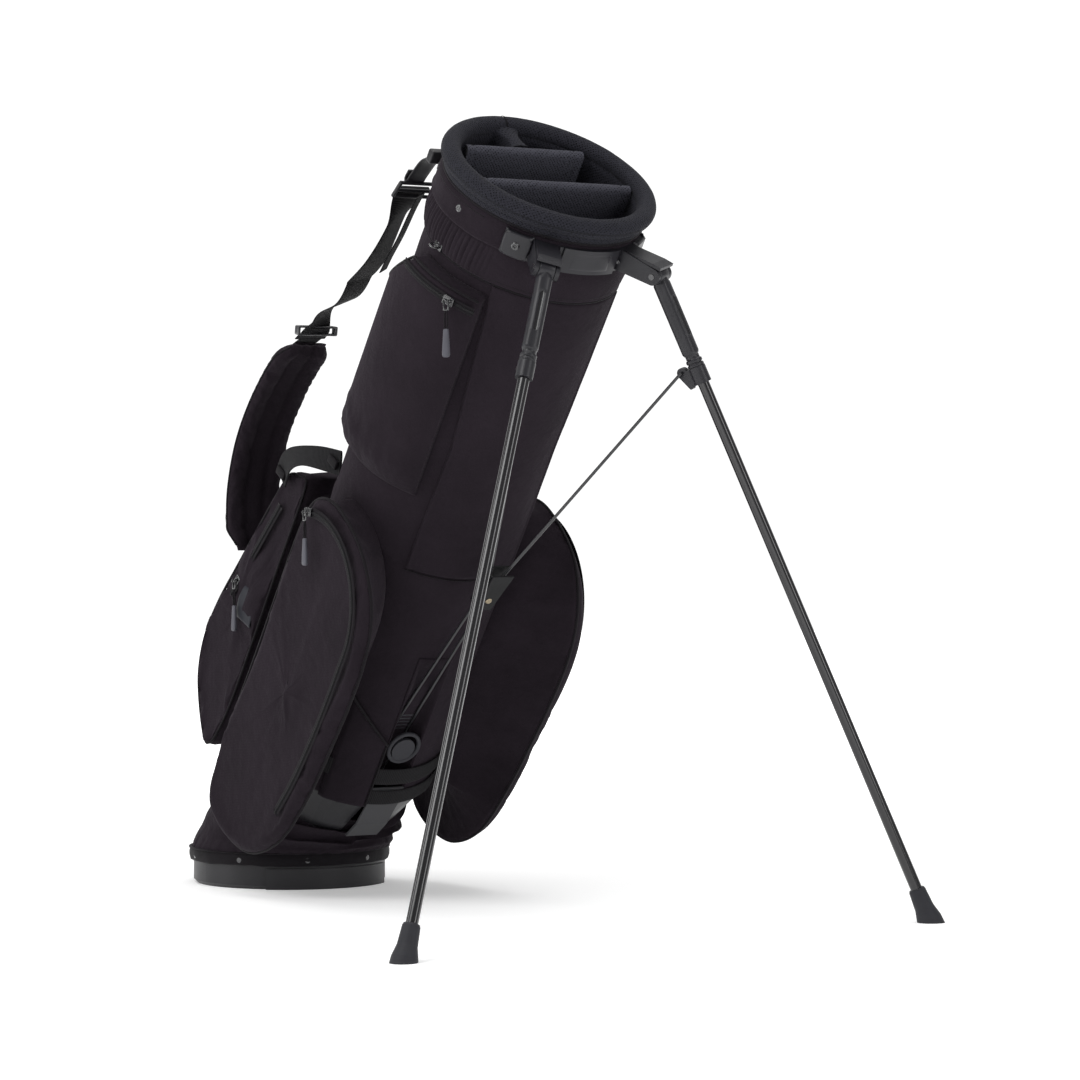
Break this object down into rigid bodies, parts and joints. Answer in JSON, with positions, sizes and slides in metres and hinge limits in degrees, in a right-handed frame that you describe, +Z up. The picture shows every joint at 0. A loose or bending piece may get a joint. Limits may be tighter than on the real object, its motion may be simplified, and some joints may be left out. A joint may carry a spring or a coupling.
{
  "type": "golf stand bag",
  "caption": "Lightweight golf stand bag standing open on folding tubular legs, with a tilting base that works them, padded club dividers, zipped pockets and a shoulder strap.",
  "frame": {"origin": "on the floor, under the middle of the base cup's round foot", "axes": "+Z up; +Y towards the legs, the way the open bag leans; +X towards the side that carries the valuables pocket"},
  "size_m": [0.6358, 0.845, 0.7978],
  "materials": {
    "body_fabric": "matt woven cloth",
    "divider_cloth": "matt woven cloth",
    "mesh_padding": "air mesh",
    "moulded_plastic": "satin moulded",
    "pin_steel": "satin",
    "rivet_metal": "semi gloss",
    "rod_glass_fibre": "smooth",
    "soft_rubber": "matt",
    "webbing": "ribbed webbing",
    "zip_tape": "fine ribbed coil",
    "slider_metal": "gloss",
    "black_tube": "glossy black anodised",
    "black_wire": "satin black",
    "yoke_brass": "aged"
  },
  "bodies": {
    "base": {"base_cup": "moulded_plastic", "foot_plate": "moulded_plastic", "base_hinge_pin": "pin_steel", "hem_band": "moulded_plastic", "hem_rivets": "rivet_metal", "skirt": "body_fabric"},
    "bag": {"lower_boot": "moulded_plastic", "tube_shell": "moulded_plastic", "body_cover": "body_fabric", "tube_floor": "moulded_plastic", "wire_guard": "moulded_plastic", "stay_rods": "rod_glass_fibre", "collar_ring": "body_fabric", "cuff": "mesh_padding", "divider_front": "mesh_padding", "divider_rear": "mesh_padding", "divider_centre": "mesh_padding", "divider_sheets": "divider_cloth", "leg_bracket": "moulded_plastic", "bracket_rivets": "rivet_metal", "leg_pivot_pins": "pin_steel", "wire_gland": "soft_rubber", "front_webbing": "webbing", "tongue": "webbing", "ball_pocket": "body_fabric", "pocket_patch": "soft_rubber", "side_pocket_near": "body_fabric", "side_pocket_far": "body_fabric", "valuables_pocket": "body_fabric", "bottle_sleeve": "body_fabric", "zip_tracks": "zip_tape", "strap_hook": "moulded_plastic", "ladder_buckle": "moulded_plastic", "strap_webbing": "webbing", "shoulder_pad": "body_fabric", "carry_handle": "webbing"},
    "leg_near": {"leg_housing_near": "moulded_plastic", "leg_tube_near": "black_tube", "foot_near": "soft_rubber", "eye_clamp_near": "moulded_plastic"},
    "leg_far": {"leg_housing_far": "moulded_plastic", "leg_tube_far": "black_tube", "foot_far": "soft_rubber", "eye_clamp_far": "moulded_plastic"},
    "upper_wire_near": {"upper_wire_near": "black_wire"},
    "upper_wire_far": {"upper_wire_far": "black_wire"},
    "actuator": {"lower_wire": "black_wire", "yoke_front": "moulded_plastic", "yoke_back": "moulded_plastic", "yoke_rivet": "yoke_brass"},
    "side_slider_near": {"side_slider_near": "slider_metal"},
    "side_slider_far": {"side_slider_far": "slider_metal"},
    "ball_slider": {"ball_slider": "slider_metal"},
    "valuables_slider": {"valuables_slider": "slider_metal"},
    "upper_slider": {"upper_slider": "slider_metal"},
    "side_pull_near": {"side_pull_near": "soft_rubber"},
    "side_pull_far": {"side_pull_far": "soft_rubber"},
    "ball_pull": {"ball_pull": "soft_rubber"},
    "valuables_pull": {"valuables_pull": "soft_rubber"},
    "pad_buckle": {"pad_buckle": "moulded_plastic"}
  },
  "joints": [
    {"name": "base_tilt", "type": "hinge", "parent": "base", "child": "bag", "pos_m": [0, -0.01, 0.022], "axis": [1, 0, 0], "range_deg": [0, 34.1], "deforming": ["skirt"]},
    {"name": "leg_near_fold", "type": "hinge", "parent": "bag", "child": "leg_near", "pos_m": [0.0655, 0.5967, 0.63289], "axis": [-0.8875, 0.3815, -0.2583], "range_deg": [0, 48.8]},
    {"name": "leg_far_fold", "type": "hinge", "parent": "bag", "child": "leg_far", "pos_m": [-0.0655, 0.5967, 0.63289], "axis": [-0.8875, -0.3815, 0.2583], "range_deg": [0, 48.8]},
    {"name": "wire_near_swing", "type": "hinge", "parent": "leg_near", "child": "upper_wire_near", "pos_m": [0.09431, 0.59929, 0.53773], "axis": [0.8705, -0.4855, 0.0802], "range_deg": [0, 59.25]},
    {"name": "wire_far_swing", "type": "hinge", "parent": "leg_far", "child": "upper_wire_far", "pos_m": [-0.09431, 0.59929, 0.53773], "axis": [0.8705, 0.4855, -0.0802], "range_deg": [0, 59.25]},
    {"name": "actuator_swing", "type": "hinge", "parent": "base", "child": "actuator", "pos_m": [0, 0.075, 0.044], "axis": [1, 0, 0], "range_deg": [0, 41.26]},
    {"name": "side_zip_near", "type": "hinge", "parent": "bag", "child": "side_slider_near", "pos_m": [0.138, 0.2685, 0.31045], "axis": [-1, 0, 0], "range_deg": [-2, 112]},
    {"name": "side_zip_far", "type": "hinge", "parent": "bag", "child": "side_slider_far", "pos_m": [-0.138, 0.2685, 0.31045], "axis": [-1, 0, 0], "range_deg": [-2, 112]},
    {"name": "ball_zip", "type": "slide", "parent": "bag", "child": "ball_slider", "axis": [0, 0.7425, 0.6699], "range_m": [-0.015, 0.1131]},
    {"name": "valuables_zip", "type": "hinge", "parent": "bag", "child": "valuables_slider", "pos_m": [0, 0.40245, 0.57964], "axis": [0, -0.5606, -0.8281], "range_deg": [-9, 33]},
    {"name": "upper_zip", "type": "hinge", "parent": "bag", "child": "upper_slider", "pos_m": [0, 0.40245, 0.57964], "axis": [0, 0.5606, 0.8281], "range_deg": [0, 39]},
    {"name": "side_pull_near_swing", "type": "hinge", "parent": "side_slider_near", "child": "side_pull_near", "pos_m": [0.1444, 0.27828, 0.40193], "axis": [0, -1, 0], "range_deg": [-2, 110]},
    {"name": "side_pull_far_swing", "type": "hinge", "parent": "side_slider_far", "child": "side_pull_far", "pos_m": [-0.1444, 0.27828, 0.40193], "axis": [0, 1, 0], "range_deg": [-2, 110]},
    {"name": "ball_pull_swing", "type": "hinge", "parent": "ball_slider", "child": "ball_pull", "pos_m": [0.0864, 0.03079, 0.32812], "axis": [0, -1, 0], "range_deg": [-2, 110]},
    {"name": "valuables_pull_swing", "type": "hinge", "parent": "valuables_slider", "child": "valuables_pull", "pos_m": [0.1116, 0.49195, 0.60599], "axis": [0.403, -0.9152, 0], "range_deg": [-2, 110]},
    {"name": "pad_buckle_slide", "type": "slide", "parent": "bag", "child": "pad_buckle", "axis": [0, 0.8623, 0.5064], "range_m": [0, 0.04]}
  ],
  "couplings": [
    {"joint": "leg_near_fold", "follows": "base_tilt", "ratio": 1.4309},
    {"joint": "leg_far_fold", "follows": "base_tilt", "ratio": 1.4309},
    {"joint": "wire_near_swing", "follows": "base_tilt", "ratio": 1.7373},
    {"joint": "wire_far_swing", "follows": "base_tilt", "ratio": 1.7373},
    {"joint": "actuator_swing", "follows": "base_tilt", "ratio": 1.2096}
  ]
}
